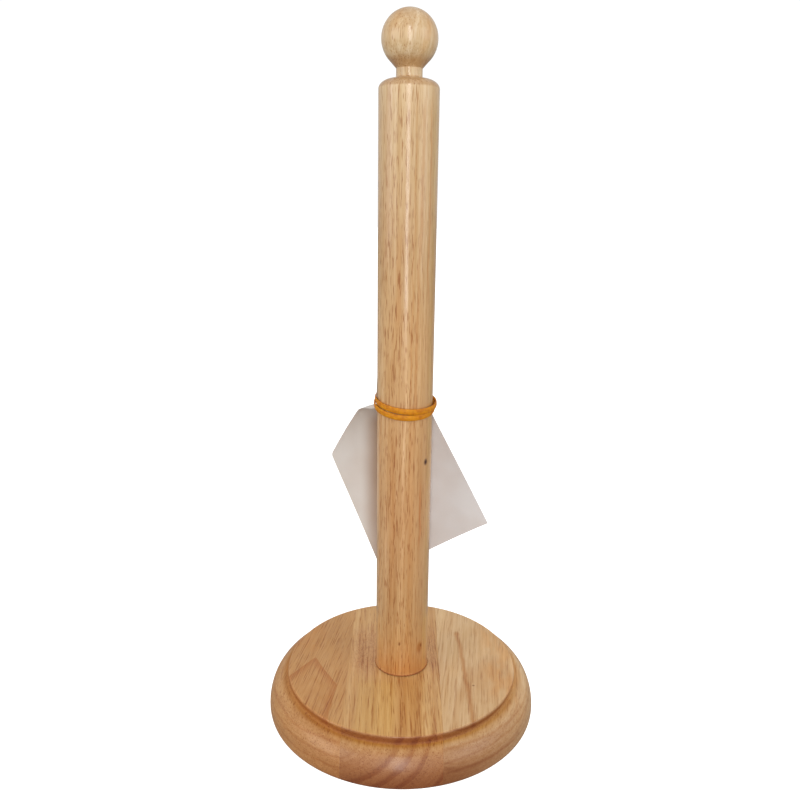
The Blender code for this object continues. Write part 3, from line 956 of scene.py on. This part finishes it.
def paintPost(tree, spot, parts, fibre):
    look = postLook
    height = parts[2]
    # tones up the post, partly painted light from above, with painted shade on the ball's top
    base = look["tones"][0][1]
    for (low, _), (high, over) in zip(look["tones"], look["tones"][1:]):
        base = tint(tree, ease(tree, height, low, high), base, over)
    turn = calc(tree, "ARCTAN2", parts[0], calc(tree, "MULTIPLY", parts[1], -1.0))
    roundPost = calc(tree, "MULTIPLY", turn, postRadius / mm)
    across = roundPost
    for length, width in look["waves"]:
        wave = noiseAlong(tree, calc(tree, "DIVIDE", height, length))
        across = calc(tree, "ADD", across, centred(tree, wave, width))
    for centre, drift, halfWidth, low, high, shade, strength in look["streaks"]:
        offset = calc(tree, "MULTIPLY_ADD", calc(tree, "SUBTRACT", height, (low + high) / 2), -drift, across)
        gap = calc(tree, "ABSOLUTE", calc(tree, "SUBTRACT", offset, centre))
        mask = product(tree, ease(tree, gap, 0.2 * halfWidth, halfWidth, 1.0, 0.0),
                       betweenMask(tree, height, low, high, look["streakEnds"]), strength)
        base = stain(tree, mask, base, shade)
    for centre, size, stretch, shade in look["knots"]:
        base = stain(tree, spotMask(tree, spot, centre, size, stretch), base, shade)
    # painted shade and warm bounce just above the base, broken up by the mottling
    mottle = calc(tree, "MULTIPLY_ADD", fibre["Mottle"], look["footMottle"], 1 - look["footMottle"])
    foot = product(tree, ease(tree, height, *look["footHeight"]), mottle)
    base = stain(tree, foot, base, look["footTone"])
    for low, high, soft, shade in look["bands"]:
        base = stain(tree, betweenMask(tree, height, low, high, soft), base, shade)
    # painted light: paler edges on both sides of the post, low down
    sides = product(tree, ease(tree, calc(tree, "ABSOLUTE", roundPost), *look["edgeLightReach"]),
                    ease(tree, roundPost, *look["edgeLightShift"]), ease(tree, height, *look["edgeLightHeight"]))
    base = stain(tree, sides, base, look["edgeLightTone"])
    base = stain(tree, ease(tree, height, *look["glueHeight"]), base, look["glueTone"])
    leftSide = calc(tree, "MULTIPLY_ADD", ease(tree, across, *look["dashSide"]), *look["dashGain"])
    dashGain = product(tree, leftSide, ease(tree, height, *look["ballDashes"]))
    return base, dashGain, ease(tree, height, *look["dullHeight"])


def makePost():
    bm = turnProfile(postProfile(), postShape["segments"])
    material = woodMaterial("postWood", postLook, False, paintPost)
    finishMesh(bm, "turnedPost", material, "stand", "post")


makePost()
print("post ready")


# the doubled rubber band
bandShape = {
    "middle": 162.2 * mm,
    "tilt": 2.3 * mm,
    "lean": 0.9 * mm,
    "width": 2.8 * mm,
    "thickness": 0.9 * mm,
    "strandOffset": 1.62 * mm,
    "crossing": 0.50 * mm,
    "crossingTurn": 150,     # degrees round to the right from the front
    "clearance": 0.04 * mm,
    "steps": 420,
    "sides": 20,
}

tagShape = {
    "thickness": 0.16 * mm,
    "backGap": 0.10 * mm,
    "wingRadius": 187.0 * mm,
    "flareZ": 162.2 * mm,
    "flareQuick": 0.6 * mm,
    "flareSlow": 17.3 * mm,
    "grid": 0.8 * mm,
    "corners": [(-10.6, 65.1), (44.5, 97.9), (2.5, 178.0), (-18.2, 178.0), (-38.0, 135.8)],
    "cornerRadii": [0.3, 0.3, 0.3, 0.3, 4.0],
}
tagHugRadius = postRadius + tagShape["backGap"] + tagShape["thickness"] / 2
bandRadius = tagHugRadius + bandShape["clearance"] + (tagShape["thickness"] + bandShape["thickness"]) / 2


def bandPoint(angle):
    shape = bandShape
    turn = angle - radians(shape["crossingTurn"] - 180)
    side = sin(turn / 2)
    radius = bandRadius + shape["crossing"] * (side + abs(side))
    sway = shape["tilt"] * (1 - cos(angle)) - shape["lean"] * sin(angle)
    height = shape["middle"] + sway + shape["strandOffset"] * cos(turn / 2)
    return Vector((radius * sin(angle), -radius * cos(angle), height))


rubberLook = {
    "cloud": 2.2,                  # cell sizes in millimetres
    "grain": 0.35,
    "tones": (colour(212, 140, 8), colour(186, 108, 2)),
    "roughness": (0.2, 0.42),      # gain with the grain, least
    "bump": (0.4, 0.08 * mm),
    "inputs": {
        "Specular IOR Level": 0.3,
        "Subsurface Weight": 0.15,
        "Subsurface Radius": (0.0012, 0.0006, 0.0002),
        "Subsurface Scale": 1.0,
    },
}


def finishShader(tree, shader, look, base, grain):  # roughness and bump follow one grain
    tree.links.new(base, shader.inputs["Base Color"])
    tree.links.new(calc(tree, "MULTIPLY_ADD", grain, *look["roughness"]), shader.inputs["Roughness"])
    for label, value in look["inputs"].items():
        shader.inputs[label].default_value = value
    addBump(tree, shader, grain, *look["bump"])


def rubberMaterial():
    look = rubberLook
    material, tree, shader, coords = newMaterial("amberRubber")
    spot = millimetres(tree, coords["Object"])
    cloud = ease(tree, noise(tree, scaled(tree, spot, look["cloud"], look["cloud"]), 3.0, 0.6), 0.3, 0.7)
    grain = noise(tree, scaled(tree, spot, look["grain"], look["grain"]), 2.0, 0.6)
    finishShader(tree, shader, look, tint(tree, cloud, *look["tones"]), grain)
    return material


def makeBand():
    shape = bandShape
    outline = arcPoints((0.0, 0.0), (shape["thickness"] / 2, shape["width"] / 2), 0, 360, shape["sides"])[:-1]
    bm = bmesh.new()
    rings = []
    steps = shape["steps"]
    for i in range(steps):
        angle = 4 * pi * i / steps
        here = bandPoint(angle)
        ahead = (bandPoint(angle + 0.01) - bandPoint(angle - 0.01)).normalized()
        out = Vector((sin(angle), -cos(angle), 0))
        up = ahead.cross(out).normalized()
        if up.z < 0:
            up = -up
        side = ahead.cross(up).normalized()
        if side.dot(out) < 0:
            side = -side
        rings.append([bm.verts.new(here + side * x + up * y) for x, y in outline])
    count = len(outline)
    for i in range(steps):
        a, b = rings[i], rings[(i + 1) % steps]
        for k in range(count):
            n = (k + 1) % count
            bm.faces.new((a[k], a[n], b[n], b[k]))
    bmesh.ops.recalc_face_normals(bm, faces=bm.faces)
    finishMesh(bm, "rubberBand", rubberMaterial(), "band", "rubber_band", sharpAngle=60)


makeBand()
print("rubber band ready")


# the blank paper tag
def tagPoint(across, height):  # wrapped on the post under the band, nearly flat below it
    below = max(0.0, tagShape["flareZ"] - height)
    hug = (exp(-below / tagShape["flareQuick"]) + exp(-below / tagShape["flareSlow"])) / 2
    bend = hug / tagHugRadius + (1 - hug) / tagShape["wingRadius"]
    return Vector((sin(bend * across) / bend, tagHugRadius - (1 - cos(bend * across)) / bend, height))


def trim(bm, point, outward):
    bmesh.ops.bisect_plane(bm, geom=bm.verts[:] + bm.edges[:] + bm.faces[:], plane_co=(*point, 0),
                           plane_no=(*outward, 0), clear_outer=True, dist=1e-6)


def trimOutline(bm, corners, radii):  # cuts the grid to the outline, with its corners rounded
    count = len(corners)
    outwards = []
    for i in range(count):
        edge = Vector(corners[(i + 1) % count]) - Vector(corners[i])
        outwards.append(Vector((edge.y, -edge.x)).normalized())
        trim(bm, corners[i], outwards[i])
    for i, radius in enumerate(radii):
        before, after = outwards[i - 1], outwards[i]
        half = before.angle(after) / 2
        centre = Vector(corners[i]) - (before + after).normalized() * radius / cos(half)
        for k in range(1, 8):
            outward = before.slerp(after, k / 8)
            trim(bm, centre + outward * radius, outward)


paperLook = {
    "cloud": 18.0,
    "fibres": 0.4,
    "tones": (colour(228, 224, 220), colour(222, 215, 209)),
    "fibreTone": colour(190, 178, 168),
    "fibreStrength": 0.12,
    "front": (0.1, -0.1),
    # painted shade and warm bounce on the front of the left wing, beside the post and below the band
    "postShadeSide": [(-23.0, -13.5), (-10.0, -13.0)],
    "paintedLightShadeHeight": [(162.0, 150.0), (70.0, 120.0, 0.7, 1.0)],
    "paintedLightShadeTone": (0.55, 0.42, 0.33, 1),
    # painted light: the front of the right wing is a little cooler and darker than the rest of the sheet
    "rightSide": (-5.0, 5.0),
    "rightTone": (0.93, 0.93, 0.96, 1),
    "roughness": (0.2, 0.55),
    "bump": (0.3, 0.06 * mm),
    "inputs": {"Specular IOR Level": 0.25},
}


def paperMaterial():
    look = paperLook
    material, tree, shader, coords = newMaterial("blankPaper")
    spot = millimetres(tree, coords["Object"])
    fibres = noise(tree, scaled(tree, spot, look["fibres"], look["fibres"]), 4.0, 0.7)
    cloud = ease(tree, noise(tree, scaled(tree, spot, look["cloud"], look["cloud"]), 2.0, 0.5), 0.3, 0.7)
    base = tint(tree, cloud, *look["tones"])
    base = tint(tree, calc(tree, "MULTIPLY", fibres, look["fibreStrength"]), base, look["fibreTone"])
    parts = splitXyz(tree, spot)
    facing = splitXyz(tree, coords["Normal"])
    front = ease(tree, facing[1], *look["front"])
    # painted shade and warm bounce beside the post
    sides = [ease(tree, parts[0], *ends) for ends in look["postShadeSide"]]
    heights = [ease(tree, parts[2], *ends) for ends in look["paintedLightShadeHeight"]]
    base = stain(tree, product(tree, *sides, front, *heights), base, look["paintedLightShadeTone"])
    # painted light: a cooler, darker tone on the right wing's front
    right = product(tree, ease(tree, parts[0], *look["rightSide"]), front)
    base = stain(tree, right, base, look["rightTone"])
    finishShader(tree, shader, look, base, fibres)
    return material


def makeTag():
    corners = [(s * mm, z * mm) for s, z in tagShape["corners"]]
    lowS, highS = min(c[0] for c in corners), max(c[0] for c in corners)
    lowZ, highZ = min(c[1] for c in corners), max(c[1] for c in corners)
    bm = bmesh.new()
    bmesh.ops.create_grid(bm, x_segments=int((highS - lowS) / tagShape["grid"]),
                          y_segments=int((highZ - lowZ) / tagShape["grid"]), size=0.5)
    bmesh.ops.scale(bm, vec=(highS - lowS, highZ - lowZ, 1), verts=bm.verts)
    bmesh.ops.translate(bm, vec=((highS + lowS) / 2, (highZ + lowZ) / 2, 0), verts=bm.verts)
    trimOutline(bm, corners, [r * mm for r in tagShape["cornerRadii"]])
    flatArea = sum(face.calc_area() for face in bm.faces)
    bmesh.ops.remove_doubles(bm, verts=bm.verts, dist=0.00005)
    for vert in bm.verts:
        vert.co = tagPoint(vert.co.x, vert.co.y)
    bm.normal_update()
    bmesh.ops.solidify(bm, geom=bm.faces[:], thickness=tagShape["thickness"])
    bmesh.ops.recalc_face_normals(bm, faces=bm.faces)
    tag = finishMesh(bm, "paperTag", paperMaterial(), "tag", "paper_tag", sharpAngle=50)
    return tag, flatArea


tag, tagArea = makeTag()
print("paper tag ready, flat area", round(tagArea * 1e6), "square mm")


# the wood screw under the base keeps its CAD shape
screwLook = {
    "cells": (0.5, 0.9),
    "edge": (0.4, 0.65),
    "tones": (colour(206, 200, 176), colour(150, 143, 122)),
    "roughness": (0.25, 0.24),
    "bump": (0.3, 0.05 * mm),
    "inputs": {"Metallic": 1.0},
}


def screwMaterial():
    look = screwLook
    material, tree, shader, coords = newMaterial("zincScrew")
    spot = millimetres(tree, coords["Object"])
    scuff = ease(tree, noise(tree, scaled(tree, spot, *look["cells"]), 3.0, 0.6), *look["edge"])
    finishShader(tree, shader, look, tint(tree, scuff, *look["tones"]), scuff)
    return material


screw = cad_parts["post_screw"]
screw = bpy.data.objects[screw] if isinstance(screw, str) else screw
screw.data.materials.clear()
screw.data.materials.append(screwMaterial())
print("screw finish ready")
